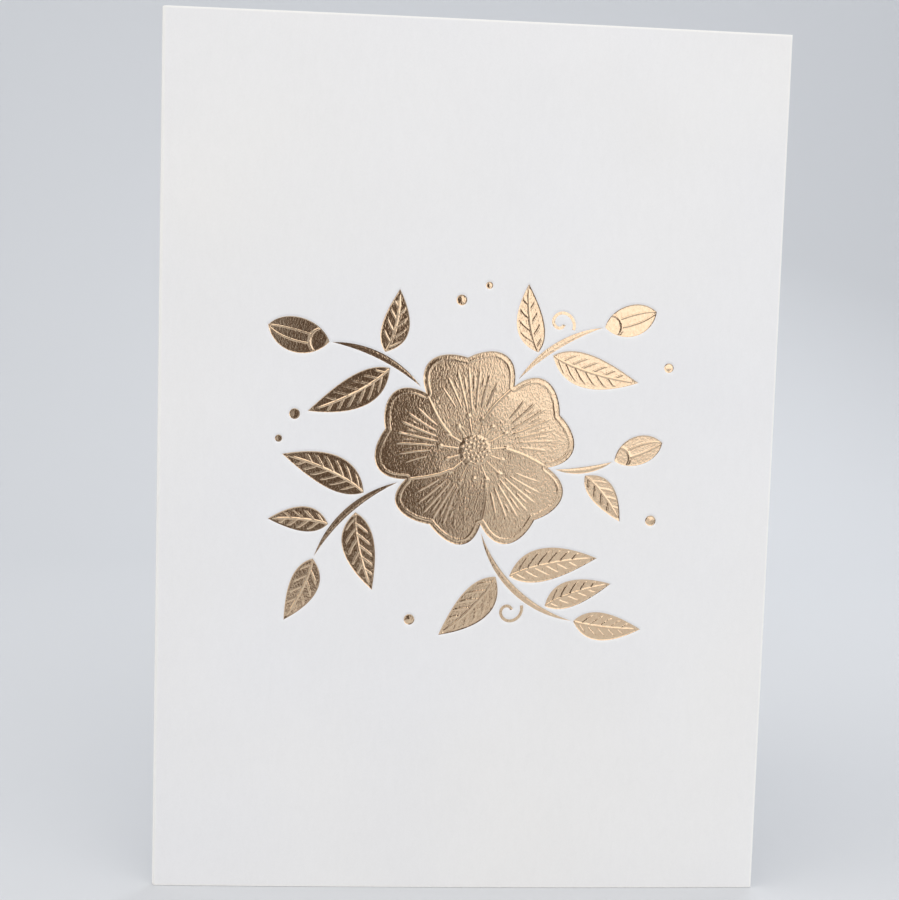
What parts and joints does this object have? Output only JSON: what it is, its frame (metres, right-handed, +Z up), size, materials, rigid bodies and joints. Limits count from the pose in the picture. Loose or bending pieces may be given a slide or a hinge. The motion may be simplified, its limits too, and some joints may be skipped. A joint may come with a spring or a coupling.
{
  "type": "greeting card",
  "caption": "Folded card that stands part open on its lower edges, with a gold-foil floral spray pressed into its front.",
  "frame": {"origin": "centre of the card's footprint on the surface it stands on: the middle of the front panel's width and of the depth of the V", "axes": "+Z up the fold, -Y out of the front face, +X from the fold to the front panel's free edge"},
  "size_m": [0.105, 0.0684, 0.148],
  "materials": {
    "card_stock": "uncoated, slightly toothy off-white card",
    "gold_foil": "champagne gold stamping foil with a soft mirror gloss"
  },
  "bodies": {
    "root": {"card_sheet": "card_stock", "foil_blossom": "gold_foil", "foil_stems": "gold_foil", "foil_leaves": "gold_foil", "foil_buds": "gold_foil", "foil_tendrils": "gold_foil", "foil_dots": "gold_foil"}
  },
  "joints": []
}
